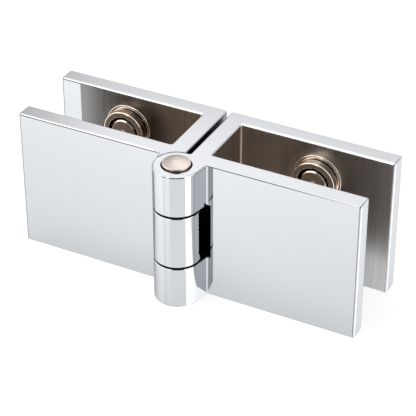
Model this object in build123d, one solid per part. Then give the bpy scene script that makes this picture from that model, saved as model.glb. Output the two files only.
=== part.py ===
from build123d import *
from math import acos, atan2, cos, hypot, sin
import os

# Glass-to-glass folding hinge, opened flat.
# X runs along the hinge, +Y points to the back plates and +Z is up.
# The origin is the middle of the rectangle that the hinge stands on.
# All sizes are in millimetres.

# Leaves: two channels that take the edge of a glass pane each
leaf_height = 45.0
leaf_reach = 55.0  # pin axis to the outer end of a leaf
leaf_depth = 30.0  # front face to back face
plate_thickness = 5.5
web_thickness = 5.75
web_gap = 1.5  # between the two webs with the hinge flat
end_corner_radius = 0.7  # upright corners at the outer ends
slot_corner_radius = 0.6  # upright corners at the bottom of the slot
edge_radius = 0.5  # rounding round the top and bottom faces

# Barrel: outer knuckles on the right leaf, middle knuckle on the left leaf
barrel_radius = 7.0
pin_standoff = 3.7  # pin axis in front of the front faces
neck_half_width = 7.75  # where a neck meets the front face
middle_knuckle_height = 16.8
knuckle_gap = 0.7
knuckle_clearance = 0.08  # radial, outer knuckles in the left leaf's scallops
knuckle_edge = 0.15  # broken edges at the knuckle gaps
lip_reach = 1.8  # the left leaf's lip round the outer knuckles
notch_radius = 9.7  # clearance pocket in the right leaf
notch_corner_radius = 1.5
gap_root_radius = 0.4  # right web to the back of its knuckles
neck_root_radius = 0.5  # neck to front face

# Hinge pin, its end screw and the two flanged bushes
pin_radius = 3.0
pin_head_radius = 4.15
pin_head_rim = 0.5  # upright rim of the head above the top face
pin_head_chamfer = 0.25
pin_head_crown = 0.75  # height of the domed crown above that rim
head_recess_radius = 4.6
head_recess_depth = 1.3
end_screw_radius = 2.0
end_screw_length = 7.0
end_screw_runout = 1.0  # tapped hole beyond the end of the screw
end_screw_head_height = 1.2
end_recess_depth = 1.7
end_screw_hex = 2.5  # across the flats
end_screw_hex_depth = 0.8
bush_wall = 1.0
bush_length = 8.0
bush_flange_radius = 6.2
bush_flange_thickness = 0.6

# Clamps: a threaded insert, a set screw and a swivel pad, two to a leaf
clamp_reach = 31.5  # pin axis to a clamp's axis
clamp_edge_distance = 11.0  # clamp axis to the top or bottom face
clamp_screw_radius = 4.0
insert_wall = 1.6
insert_flange_radius = 7.5
insert_flange_thickness = 0.7
insert_flange_chamfer = 0.3
pad_radius = 6.7
pad_thickness = 3.1
pad_chamfer = 0.4
pad_recess_radius = 5.0
pad_recess_depth = 1.1
pad_recess_chamfer = 0.2
spigot_radius = 3.0
button_radius = 4.1
button_height = 0.65
button_crown = 0.4
button_dimple_radius = 0.9
clamp_hex = 4.0  # across the flats
clamp_hex_depth = 3.5
screw_end_recess = 0.3  # set screw below the back face
screw_end_chamfer = 0.5

# Soft liner on the inner face of each front plate
liner_thickness = 1.0
liner_margin = 2.5  # to the top, bottom and outer end
liner_web_margin = 3.0
liner_corner_radius = 1.0

# Fits
press_clearance = 0.02
running_clearance = 0.05
axial_clearance = 0.1
seat_clearance = 0.15

# Places that follow from the sizes above
overall_depth = leaf_depth + pin_standoff + barrel_radius
pin_y = barrel_radius - overall_depth / 2
front_y = pin_y + pin_standoff
back_y = front_y + leaf_depth
slot_front_y = front_y + plate_thickness
slot_back_y = back_y - plate_thickness
slot_reach = web_gap / 2 + web_thickness
outer_knuckle_height = (leaf_height - middle_knuckle_height) / 2 - knuckle_gap
lower_knuckle_top = outer_knuckle_height
upper_knuckle_bottom = leaf_height - outer_knuckle_height
middle_bottom = lower_knuckle_top + knuckle_gap
middle_top = upper_knuckle_bottom - knuckle_gap
bush_radius = pin_radius + running_clearance + bush_wall
insert_radius = clamp_screw_radius + running_clearance + insert_wall
insert_hole_radius = insert_radius + press_clearance
clamp_heights = {
    "upper": leaf_height - clamp_edge_distance,
    "lower": clamp_edge_distance,
}
sides = {"left": -1, "right": 1}


def hex_bar(across_flats, length):
    """Hexagonal bar that stands on the XY plane."""
    with BuildPart() as bar:
        with BuildSketch():
            RegularPolygon(across_flats / 2, 6, major_radius=False)
        extrude(amount=length)
    return bar.part


def turned(outline):
    """Solid turned about Z from a closed list of (radius, height) points."""
    with BuildPart() as body:
        with BuildSketch(Plane.XZ):
            with BuildLine():
                Polyline(*outline, close=True)
            make_face()
        revolve(axis=Axis.Z)
    return body.part


def disc(radius, bottom, top):
    """Upright cylinder on the pin axis between two heights."""
    shape = Cylinder(radius, top - bottom, align=(Align.CENTER, Align.CENTER, Align.MIN))
    return Pos(0, pin_y, bottom) * shape


def ring_edges(shape, radius):
    """Circular edges of one radius on a turned solid."""
    rings = shape.edges().filter_by(GeomType.CIRCLE)
    return rings.filter_by(lambda ring: abs(ring.radius - radius) < 0.001)


def channel(side):
    """Open-ended channel of one leaf, extruded from its plan."""
    root_x = side * web_gap / 2
    slot_x = side * slot_reach
    end_x = side * leaf_reach
    with BuildPart() as leaf:
        with BuildSketch() as plan:
            with BuildLine():
                Polyline(
                    (root_x, front_y),
                    (end_x, front_y),
                    (end_x, slot_front_y),
                    (slot_x, slot_front_y),
                    (slot_x, slot_back_y),
                    (end_x, slot_back_y),
                    (end_x, back_y),
                    (root_x, back_y),
                    close=True,
                )
            make_face()
            corners = plan.vertices()
            ends = [v for v in corners if abs(v.X - end_x) < 0.001]
            backs = [v for v in corners if abs(v.X - root_x) < 0.001 and abs(v.Y - back_y) < 0.001]
            fillet(ends + backs, end_corner_radius)
            roots = [v for v in plan.vertices() if abs(v.X - slot_x) < 0.001]
            fillet(roots, slot_corner_radius)
        extrude(amount=leaf_height)
    return leaf.part


def flank(side):
    """Neck's corner on the front face and its tangent point on the barrel, from the pin axis."""
    reach = hypot(neck_half_width, pin_standoff)
    angle = atan2(pin_standoff, neck_half_width) - acos(barrel_radius / reach)
    corner = (side * neck_half_width, pin_standoff)
    tangent = (side * barrel_radius * cos(angle), barrel_radius * sin(angle))
    return corner, tangent


def knuckle(side, bottom, top):
    """Knuckle with the neck that joins it to its leaf, its edges at the gaps broken."""
    corner, tangent = flank(side)
    root_x = side * web_gap / 2
    root_y = pin_standoff + plate_thickness / 2
    with BuildPart() as body:
        with BuildSketch(Plane((0, pin_y, bottom))):
            Circle(barrel_radius)
            with BuildLine():
                Polyline((root_x, 0), tangent, corner, (corner[0], root_y), (root_x, root_y), close=True)
            make_face()
        extrude(amount=top - bottom)
        arcs = ring_edges(body.part, barrel_radius)
        chamfer([arc for arc in arcs if 0 < arc.center().Z < leaf_height], knuckle_edge)
    return body.part


def lip(side):
    """Full-height lip that carries the neck's flank round the outer knuckles."""
    corner, tangent = flank(side)
    share = lip_reach / (corner[1] - tangent[1])
    tip_x = corner[0] + share * (tangent[0] - corner[0])
    tip_y = corner[1] - lip_reach
    root_y = pin_standoff + plate_thickness / 2
    with BuildPart() as body:
        with BuildSketch(Plane((0, pin_y, 0))):
            with BuildLine():
                Polyline((0, tip_y), (tip_x, tip_y), corner, (corner[0], root_y), (0, root_y), close=True)
            make_face()
        extrude(amount=leaf_height)
    return body.part


def clamp_holes(side):
    """Holes through the back plate for the two threaded inserts."""
    length = plate_thickness + 2 * edge_radius
    hole = Cylinder(insert_hole_radius, length, align=(Align.CENTER, Align.CENTER, Align.MIN))
    places = [clamp_plane(side, height, back_y + edge_radius) for height in clamp_heights.values()]
    return [place.location * hole for place in places]


def clamp_plane(side, height, y):
    """Plane on a clamp's axis whose normal points to the front plate."""
    return Plane(origin=(side * clamp_reach, y, height), x_dir=(1, 0, 0), z_dir=(0, -1, 0))


def upright_edges(leaf, x, y):
    """Upright edges of a leaf at one place of its plan."""
    uprights = leaf.edges().filter_by(Axis.Z)
    return [edge for edge in uprights if hypot(edge.center().X - x, edge.center().Y - y) < 0.01]


def gap_root(leaf):
    """Round the root between the right web and the backs of its knuckles."""
    root_y = pin_y + (barrel_radius**2 - (web_gap / 2) ** 2) ** 0.5
    return fillet(upright_edges(leaf, web_gap / 2, root_y), gap_root_radius)


def neck_root(leaf, side):
    """Round the root between a leaf's neck and its front face."""
    return fillet(upright_edges(leaf, side * neck_half_width, front_y), neck_root_radius)


def rounded_rim(leaf):
    """Round the edges of the top and bottom faces."""
    rim = leaf.faces().sort_by(Axis.Z)[-1].outer_wire().edges()
    rim += leaf.faces().sort_by(Axis.Z)[0].outer_wire().edges()
    return fillet(rim, edge_radius)


def left_leaf():
    """Leaf that carries the middle knuckle."""
    leaf = neck_root(channel(sides["left"]) + lip(sides["left"]), sides["left"])
    leaf = rounded_rim(leaf)
    scallop = barrel_radius + knuckle_clearance
    leaf -= disc(scallop, -edge_radius, middle_bottom)
    leaf -= disc(scallop, middle_top, leaf_height + edge_radius)
    leaf += knuckle(sides["left"], middle_bottom, middle_top)
    leaf -= disc(bush_radius + press_clearance, 0, leaf_height)
    for hole in clamp_holes(sides["left"]):
        leaf -= hole
    return leaf


def right_leaf():
    """Leaf that carries the outer knuckles and holds the pin."""
    leaf = channel(sides["right"])
    leaf += knuckle(sides["right"], 0, lower_knuckle_top)
    leaf += knuckle(sides["right"], upper_knuckle_bottom, leaf_height)
    leaf = rounded_rim(neck_root(gap_root(leaf), sides["right"]))
    pocket = disc(notch_radius, lower_knuckle_top, upper_knuckle_bottom)
    leaf -= fillet(ring_edges(pocket, notch_radius), notch_corner_radius)
    leaf -= disc(pin_radius + press_clearance, 0, leaf_height)
    leaf -= disc(head_recess_radius, leaf_height - head_recess_depth, leaf_height + edge_radius)
    leaf -= disc(head_recess_radius, -edge_radius, end_recess_depth)
    for hole in clamp_holes(sides["right"]):
        leaf -= hole
    return leaf


def hinge_pin():
    """Pin with a domed head, tapped at its lower end for the end screw."""
    shoulder = leaf_height - head_recess_depth
    rim = leaf_height + pin_head_rim
    lower_end = end_recess_depth + axial_clearance
    crown_edge = pin_head_radius - pin_head_chamfer
    crown_radius = (crown_edge**2 + pin_head_crown**2) / (2 * pin_head_crown)
    with BuildPart() as pin:
        with BuildSketch(Plane.XZ):
            with BuildLine():
                Polyline(
                    (0, rim + pin_head_crown),
                    (0, lower_end),
                    (pin_radius, lower_end),
                    (pin_radius, shoulder),
                    (pin_head_radius, shoulder),
                    (pin_head_radius, rim - pin_head_chamfer),
                    (crown_edge, rim),
                )
                RadiusArc((crown_edge, rim), (0, rim + pin_head_crown), -crown_radius)
            make_face()
        revolve(axis=Axis.Z)
    tapped_depth = end_screw_length + end_screw_runout
    tapped = Cylinder(
        end_screw_radius + running_clearance, tapped_depth, align=(Align.CENTER, Align.CENTER, Align.MIN)
    )
    shape = pin.part - Pos(0, 0, lower_end) * tapped
    return Pos(0, pin_y, 0) * shape


def pin_end_screw():
    """Screw with a flat head that closes the lower end of the pin."""
    seat = end_recess_depth
    head_bottom = seat - end_screw_head_height
    screw = turned(
        [
            (0, head_bottom),
            (pin_head_radius, head_bottom),
            (pin_head_radius, seat),
            (end_screw_radius, seat),
            (end_screw_radius, seat + end_screw_length),
            (0, seat + end_screw_length),
        ]
    )
    screw = chamfer(ring_edges(screw, pin_head_radius).sort_by(Axis.Z)[0], pin_head_chamfer)
    screw -= Pos(0, 0, head_bottom) * hex_bar(end_screw_hex, end_screw_hex_depth)
    return Pos(0, pin_y, 0) * screw


def bush(upward):
    """Flanged bush in the middle knuckle; its flange bears on an outer knuckle."""
    bore = pin_radius + running_clearance
    shape = turned(
        [
            (bore, -bush_length),
            (bush_radius, -bush_length),
            (bush_radius, 0),
            (bush_flange_radius, 0),
            (bush_flange_radius, bush_flange_thickness),
            (bore, bush_flange_thickness),
        ]
    )
    if upward:
        return Pos(0, pin_y, middle_top) * shape
    return Pos(0, pin_y, middle_bottom) * Rot(180, 0, 0) * shape


def threaded_insert(side, height):
    """Flanged insert in the back plate; its bore carries the clamp's thread."""
    bore = clamp_screw_radius + running_clearance
    shape = turned(
        [
            (bore, screw_end_recess - plate_thickness),
            (insert_radius, screw_end_recess - plate_thickness),
            (insert_radius, 0),
            (insert_flange_radius, 0),
            (insert_flange_radius, insert_flange_thickness - insert_flange_chamfer),
            (insert_flange_radius - insert_flange_chamfer, insert_flange_thickness),
            (bore, insert_flange_thickness),
        ]
    )
    return clamp_plane(side, height, slot_back_y).location * shape


def swivel_pad(side, height):
    """Round pad that bears on the glass and turns on the set screw's spigot."""
    back = insert_flange_thickness + seat_clearance
    front = back + pad_thickness
    floor = front - pad_recess_depth
    bore = spigot_radius + running_clearance
    shape = turned(
        [
            (bore, back),
            (pad_radius, back),
            (pad_radius, front - pad_chamfer),
            (pad_radius - pad_chamfer, front),
            (pad_recess_radius + pad_recess_chamfer, front),
            (pad_recess_radius, front - pad_recess_chamfer),
            (pad_recess_radius, floor),
            (bore, floor),
        ]
    )
    return clamp_plane(side, height, slot_back_y).location * shape


def clamp_screw(side, height):
    """Socket set screw with a spigot and the peened button that keeps its pad on."""
    rear = screw_end_recess - plate_thickness
    shoulder = insert_flange_thickness + seat_clearance - running_clearance
    floor = insert_flange_thickness + seat_clearance + pad_thickness - pad_recess_depth
    button_back = floor + running_clearance
    button_rim = button_back + button_height
    shape = turned(
        [
            (0, rear),
            (clamp_screw_radius - screw_end_chamfer, rear),
            (clamp_screw_radius, rear + screw_end_chamfer),
            (clamp_screw_radius, shoulder),
            (spigot_radius, shoulder),
            (spigot_radius, button_back),
            (button_radius, button_back),
            (button_radius, button_rim),
            (button_radius - button_crown, button_rim + button_crown),
            (0, button_rim + button_crown),
        ]
    )
    shape -= Pos(0, 0, rear) * hex_bar(clamp_hex, clamp_hex_depth)
    shape -= Pos(0, 0, button_rim + button_crown + button_dimple_radius / 2) * Sphere(button_dimple_radius)
    return clamp_plane(side, height, slot_back_y).location * shape


def liner(side):
    """Thin pad between the front plate and the glass."""
    inner = slot_reach + liner_web_margin
    outer = leaf_reach - liner_margin
    height = leaf_height - 2 * liner_margin
    place = Plane(
        origin=(side * (inner + outer) / 2, slot_front_y, leaf_height / 2), x_dir=(1, 0, 0), z_dir=(0, 1, 0)
    )
    with BuildPart() as pad:
        with BuildSketch(place):
            RectangleRounded(outer - inner, height, liner_corner_radius)
        extrude(amount=liner_thickness)
    return pad.part


def hinge():
    """Every piece of the hinge under its own name."""
    pieces = {
        "left_leaf": left_leaf(),
        "right_leaf": right_leaf(),
        "hinge_pin": hinge_pin(),
        "pin_end_screw": pin_end_screw(),
        "upper_bush": bush(upward=True),
        "lower_bush": bush(upward=False),
    }
    for side_name, side in sides.items():
        pieces[f"{side_name}_liner"] = liner(side)
        for level, height in clamp_heights.items():
            pieces[f"{side_name}_{level}_insert"] = threaded_insert(side, height)
            pieces[f"{side_name}_{level}_pad"] = swivel_pad(side, height)
            pieces[f"{side_name}_{level}_screw"] = clamp_screw(side, height)
    return pieces


os.makedirs("parts", exist_ok=True)
for node, solid in hinge().items():
    solid.label = node
    export_step(solid, f"parts/{node}.step")
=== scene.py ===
import logging
import math
from collections.abc import Sequence
from dataclasses import dataclass, field
from enum import Enum
from functools import reduce
from typing import Any, NamedTuple

import bmesh
import bpy
from mathutils import Matrix, Vector


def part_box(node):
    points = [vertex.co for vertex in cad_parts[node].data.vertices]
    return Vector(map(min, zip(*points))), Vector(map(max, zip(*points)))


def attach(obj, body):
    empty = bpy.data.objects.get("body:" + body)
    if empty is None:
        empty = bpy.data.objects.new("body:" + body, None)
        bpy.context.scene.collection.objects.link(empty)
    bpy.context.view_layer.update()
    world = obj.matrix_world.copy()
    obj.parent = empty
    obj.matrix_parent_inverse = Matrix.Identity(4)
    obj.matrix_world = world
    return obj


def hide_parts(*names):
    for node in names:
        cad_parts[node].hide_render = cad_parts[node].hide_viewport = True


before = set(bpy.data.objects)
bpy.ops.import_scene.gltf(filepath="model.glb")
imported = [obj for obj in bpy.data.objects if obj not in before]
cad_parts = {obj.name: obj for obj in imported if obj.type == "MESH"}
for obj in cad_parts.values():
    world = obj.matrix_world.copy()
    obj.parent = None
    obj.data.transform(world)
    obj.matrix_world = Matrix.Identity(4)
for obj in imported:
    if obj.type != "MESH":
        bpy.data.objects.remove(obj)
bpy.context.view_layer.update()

Pair = tuple[float, float]
Triple = tuple[float, float, float]
Socket = bpy.types.NodeSocket
Piece = bpy.types.Object

log = logging.getLogger("glass_door_hinge")

MM = 0.001
HALF_TURN = 180.0  # in degrees
LOCAL_PLACE = "turned_place"  # a turned piece's own coordinates, with its axis along Z


class Side(Enum):
    """The two leaves, by their names in the frame's nodes and bodies."""

    LEFT = "left"
    RIGHT = "right"


class Level(Enum):
    """The two clamps of a leaf and the two bushes, by their names in the frame."""

    UPPER = "upper"
    LOWER = "lower"


class Lay(Enum):
    """Where a turned piece's axis points, as Euler angles of its own Z."""

    UP = (0.0, 0.0, 0.0)
    DOWN = (math.pi, 0.0, 0.0)
    TO_FRONT_PLATE = (math.pi / 2, 0.0, 0.0)


class NodeGraph:
    """Adds and joins nodes in one shader or geometry tree."""

    def __init__(self, tree: bpy.types.NodeTree) -> None:
        """Works on a tree that is already made."""
        self.tree = tree

    def feed(self, socket: Socket, value: Any) -> None:
        """Joins a socket to another one, or sets its value.

        Args:
            socket: the input.
            value: the other socket, or the value.
        """
        if isinstance(value, Socket):
            self.tree.links.new(value, socket)
        else:
            socket.default_value = value

    def add(self, kind: str, inputs: dict[str | int, Any] | None = None, **settings: Any) -> bpy.types.Node:
        """Adds a node.

        Args:
            kind: the node's type.
            inputs: values or sockets for its inputs, by name or number.
            settings: its own properties, which are set before its inputs.

        Returns:
            The new node.
        """
        node = self.tree.nodes.new(kind)
        for name, value in settings.items():
            setattr(node, name, value)
        for name, value in (inputs or {}).items():
            self.feed(node.inputs[name], value)
        return node

    def math(self, operation: str, *values: Any, clamp: bool = False) -> Socket:
        """Adds a Math node.

        Args:
            operation: what it does.
            values: its one to three operands.
            clamp: whether the result stays between 0 and 1.

        Returns:
            Its result.
        """
        node = self.add("ShaderNodeMath", operation=operation, use_clamp=clamp)
        for socket, value in zip(node.inputs, values):
            self.feed(socket, value)
        return node.outputs[0]

    def product(self, *values: Any) -> Socket:
        """Multiplies two numbers or more, from the first on."""
        return reduce(lambda left, right: self.math("MULTIPLY", left, right), values)

    def vector(self, x: Any = 0.0, y: Any = 0.0, z: Any = 0.0) -> Socket:
        """Joins three numbers to a vector."""
        return self.add("ShaderNodeCombineXYZ", {"X": x, "Y": y, "Z": z}).outputs[0]

    def axes(self, vector: Any) -> Any:
        """A vector's three numbers, by the names of their axes."""
        return self.add("ShaderNodeSeparateXYZ", {"Vector": vector}).outputs

    def length(self, x: Any, y: Any) -> Socket:
        """How long a line is that goes this far along X and along Y."""
        return self.add("ShaderNodeVectorMath", {0: self.vector(x, y)}, operation="LENGTH").outputs["Value"]

    def ramp(self, value: Any, start: float, end: float, first: Any = 0.0, last: Any = 1.0) -> Socket:
        """A number that changes evenly between two limits and stays the same outside them.

        Args:
            value: what it follows.
            start: the limit where the change starts.
            end: the limit where it ends.
            first: the number up to the start.
            last: the number from the end on.

        Returns:
            The number.
        """
        limits = {"From Min": start, "From Max": end, "To Min": first, "To Max": last}
        return self.add("ShaderNodeMapRange", {"Value": value, **limits}).outputs["Result"]

    def step(self, value: Any, edge: float, blur: float) -> Socket:
        """A mask that goes from 0 to 1 at an edge, over the width of its blur."""
        return self.ramp(value, edge - blur / 2, edge + blur / 2)

    def between(self, value: Any, low: float, high: float, blur: float) -> Socket:
        """A mask that is 1 where a value lies between two limits, with soft ends."""
        return self.math("SUBTRACT", self.step(value, low, blur), self.step(value, high, blur), clamp=True)

    def mix(self, factor: Any, low: Any, high: Any) -> Socket:
        """Mixes two numbers; the factor is the share of the second one."""
        return self.ramp(factor, 0.0, 1.0, low, high)

    def vary(self, noise: Any, middle: float, spread: Pair) -> Socket:
        """A number that a noise moves between two shares of its middle value."""
        return self.mix(noise, middle * spread[0], middle * spread[1])

    def mix_colour(self, factor: Any, low: Any, high: Any) -> Socket:
        """Mixes two colours.

        Args:
            factor: the share of the second one.
            low: the first colour.
            high: the second colour.

        Returns:
            The mixed colour.
        """
        node = self.add("ShaderNodeMix", {"Factor": factor}, data_type="RGBA")
        for socket, colour in zip((s for s in node.inputs if s.type == "RGBA"), (low, high)):
            self.feed(socket, colour)
        return next(s for s in node.outputs if s.type == "RGBA")

    def mix_shader(self, factor: Any, low: bpy.types.Node, high: bpy.types.Node) -> bpy.types.Node:
        """Mixes two shaders; the factor is the share of the second one."""
        return self.add("ShaderNodeMixShader", {0: factor, 1: low.outputs[0], 2: high.outputs[0]})

    def colour_ramp(self, value: Any, stops: Sequence[tuple[float, Triple]]) -> Socket:
        """A colour that changes evenly from stop to stop.

        Args:
            value: what it follows.
            stops: the value and the colour at each stop, in order.

        Returns:
            The colour.
        """
        (start, first), *inner, (end, last) = stops
        node = self.add("ShaderNodeValToRGB", {"Fac": self.ramp(value, start, end)})
        marks = node.color_ramp.elements
        marks[0].color, marks[1].color = rgba(first), rgba(last)
        for place, colour in inner:
            marks.new((place - start) / (end - start)).color = rgba(colour)
        return node.outputs["Color"]

    def noise(self, vector: Any, scale: float, detail: float, roughness: float) -> Socket:
        """Adds a Noise Texture.

        Args:
            vector: the coordinates it reads.
            scale: its scale.
            detail: its octaves.
            roughness: how strong the finer octaves are.

        Returns:
            The noise, about 0.5 on average.
        """
        inputs = {"Vector": vector, "Scale": scale, "Detail": detail, "Roughness": roughness}
        return self.add("ShaderNodeTexNoise", inputs).outputs[0]

    def stretched(self, vector: Any, scale: Triple) -> Socket:
        """Coordinates scaled by a different amount along each axis."""
        return self.add("ShaderNodeMapping", {"Vector": vector, "Scale": scale}).outputs[0]

    def scaled(self, vector: Any, scale: Any) -> Socket:
        """A vector or colour times a number."""
        return self.add("ShaderNodeVectorMath", {0: vector, "Scale": scale}, operation="SCALE").outputs[0]

    def bump(self, shader: bpy.types.Node, height: Any, strength: float, depth: float) -> None:
        """Gives a shader's normal the relief of a height."""
        relief = self.add("ShaderNodeBump", {"Height": height, "Strength": strength, "Distance": depth})
        self.feed(shader.inputs["Normal"], relief.outputs[0])


def rgba(colour: Triple) -> tuple[float, float, float, float]:
    """A colour with full alpha."""
    return (*colour, 1.0)


def empty_graph(owner: bpy.types.Material | bpy.types.World) -> NodeGraph:
    """Clears the nodes of a material or a world.

    Args:
        owner: the material or the world.

    Returns:
        The graph for its new nodes.
    """
    owner.use_nodes = True
    owner.node_tree.nodes.clear()
    return NodeGraph(owner.node_tree)


def new_material(name: str) -> tuple[bpy.types.Material, NodeGraph, bpy.types.Node]:
    """Makes a material with an empty Principled shader.

    Args:
        name: the material's name.

    Returns:
        The material, the graph of its nodes and its Principled node.
    """
    material = bpy.data.materials.new(name)
    graph = empty_graph(material)
    shader = graph.add("ShaderNodeBsdfPrincipled")
    graph.add("ShaderNodeOutputMaterial", {"Surface": shader.outputs[0]})
    return material, graph, shader


def new_object(name: str, data: bpy.types.ID) -> Piece:
    """Makes an object and links it into the scene.

    Args:
        name: its name.
        data: its mesh, lamp or camera.

    Returns:
        The object.
    """
    made = bpy.data.objects.new(name, data)
    bpy.context.scene.collection.objects.link(made)
    return made


class LeafPoint:
    """The point of a leaf that is shaded, with a mask for each kind of face that it may lie on."""

    def __init__(self, graph: NodeGraph, finish: "ChromeFinish", leaf: "LeafPlates") -> None:
        """Reads the point's place and normal.

        Args:
            graph: the finish's nodes.
            finish: the finish, for the limits of its masks.
            leaf: the leaves, for the places of their slots, gaps and clamps.
        """
        self.graph = graph
        self.finish = finish
        self.leaf = leaf
        coordinates = graph.add("ShaderNodeTexCoord").outputs
        self.where = coordinates["Object"]
        self.place = graph.axes(self.where)
        self.normal = graph.axes(coordinates["Normal"])
        self.reach = graph.math("ABSOLUTE", self.place["X"])
        self.rise = graph.math("ABSOLUTE", self.normal["Z"])

    def in_slot(self) -> Socket:
        """Whether it lies inside a slot, up to the polished strip at the left one's mouth.

        Returns:
            The mask.
        """
        graph, leaf, place = self.graph, self.leaf, self.place
        edge = leaf.mask_edge
        right = graph.step(place["X"], leaf.slot_reach - edge / 2, edge)
        left = graph.between(place["X"], -leaf.slot_mouth, edge / 2 - leaf.slot_reach, edge)
        across = graph.between(place["Y"], leaf.slot_front - edge, leaf.slot_back + edge, edge / 2)
        upright = graph.math("LESS_THAN", self.rise, self.finish.slot_tilt)
        return graph.product(graph.math("ADD", left, right), across, upright)

    def from_clamp(self, shift: float) -> Socket:
        """How far it lies from the nearest clamp's axis.

        Args:
            shift: how far to the right of the axis the distance starts.

        Returns:
            The distance.
        """
        graph, leaf = self.graph, self.leaf
        middle = leaf.top / 2
        reach = graph.math("ABSOLUTE", graph.math("SUBTRACT", self.place["X"], shift))
        lift = graph.math("ABSOLUTE", graph.math("SUBTRACT", self.place["Z"], middle))
        aside = graph.math("SUBTRACT", reach, leaf.clamp_reach)
        return graph.length(aside, graph.math("SUBTRACT", lift, middle - leaf.clamp_edge))

    def slot_tone_and_shade(self) -> Socket:
        """The bare metal's colour there, with painted light and shade along the slot, a painted shadow ring
        round each insert and a pale crescent of painted light beside each ring.

        Returns:
            The colour.
        """
        graph, finish, edge = self.graph, self.finish, self.leaf.flange_radius
        tone = graph.colour_ramp(self.place["X"], finish.slot_tones_and_shade)
        far = graph.step(self.from_clamp(finish.painted_halo_shift), edge + finish.painted_halo_width / 2, finish.painted_halo_width)
        away = graph.step(self.from_clamp(0.0), edge + finish.painted_glow_width / 2, finish.painted_glow_width)
        lit = graph.mix(away, finish.painted_glow_gain, 1.0)
        shade = graph.mix(graph.math("GREATER_THAN", self.place["X"], 0.0), *finish.painted_halo_shades)
        return graph.scaled(tone, graph.mix(far, shade, lit))

    def on_rim_highlight(self) -> Socket:
        """Whether it lies on the strip of painted highlight along a plate's front edge.

        Returns:
            The mask.
        """
        graph, finish, leaf = self.graph, self.finish, self.leaf
        edge = leaf.mask_edge
        plate_front = leaf.slot_front - leaf.plate
        back_edge = leaf.slot_back + leaf.edge_radius + finish.rim_highlight_width
        front_edge = plate_front + leaf.edge_radius + finish.rim_highlight_width / 2
        back = graph.between(self.place["Y"], leaf.slot_back, back_edge, edge)
        back = graph.product(back, graph.step(self.reach, leaf.slot_reach - edge, edge))
        front = graph.between(self.place["Y"], plate_front, front_edge, edge)
        front = graph.product(front, graph.math("LESS_THAN", self.place["X"], -leaf.notch_radius))
        upward = graph.step(self.rise, finish.rim_highlight_tilt, finish.rim_highlight_blur)
        return graph.product(graph.math("MAXIMUM", back, front), upward)

    def on_corner_shade(self) -> Socket:
        """Whether it lies on the parts of an upright outer corner's rounding that get a dark line of painted
        shade.

        Returns:
            The mask.
        """
        graph, finish = self.graph, self.finish
        outer = graph.math("GREATER_THAN", self.reach, self.leaf.reach - self.leaf.corner_radius)
        forward = graph.math("LESS_THAN", self.normal["Y"], 0.0)
        sides = [graph.between(self.normal["X"], *side, finish.corner_shade_blur) for side in finish.corner_shade_turns]
        return graph.product(outer, forward, graph.math("MAXIMUM", *sides))

    def in_gap_shade(self) -> Socket:
        """Whether it lies in a knuckle gap, in the clearance pocket or in a bore, where shade is painted near
        black.

        Returns:
            The mask.
        """
        graph, leaf, place = self.graph, self.leaf, self.place
        edge = leaf.mask_edge / 2
        radius = graph.length(place["X"], graph.math("SUBTRACT", place["Y"], leaf.axis_y))
        lower, upper = leaf.knuckle_gaps()

        ring = graph.between(radius, leaf.barrel_radius + 2 * edge, leaf.notch_radius + edge / 2, edge / 2)
        beside = graph.between(place["Z"], lower[0] - edge, upper[1] + edge, edge)
        pocket = graph.product(ring, beside, graph.math("GREATER_THAN", place["X"], 0.0))
        within = graph.between(place["Z"], leaf.mask_edge, leaf.top - leaf.mask_edge, edge)
        bore = graph.product(graph.math("LESS_THAN", radius, leaf.bore_reach), within)
        levels = [graph.between(place["Z"], low - edge, high + edge, edge) for low, high in (lower, upper)]
        inside = graph.math("LESS_THAN", radius, leaf.barrel_radius - leaf.knuckle_edge)
        knuckles = graph.product(inside, graph.math("MAXIMUM", *levels))
        return graph.math("MAXIMUM", graph.math("MAXIMUM", pocket, bore), knuckles)

    def on_web_shade(self) -> Socket:
        """Whether it lies where a web faces the other leaf, which gets painted shade.

        Returns:
            The mask.
        """
        graph, leaf = self.graph, self.leaf
        behind = leaf.axis_y + leaf.barrel_radius - leaf.knuckle_edge
        near = graph.math("LESS_THAN", self.reach, (leaf.web_gap + leaf.mask_edge) / 2)
        upright = graph.math("LESS_THAN", self.rise, self.finish.web_tilt)
        return graph.product(near, graph.math("GREATER_THAN", self.place["Y"], behind), upright)


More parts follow.
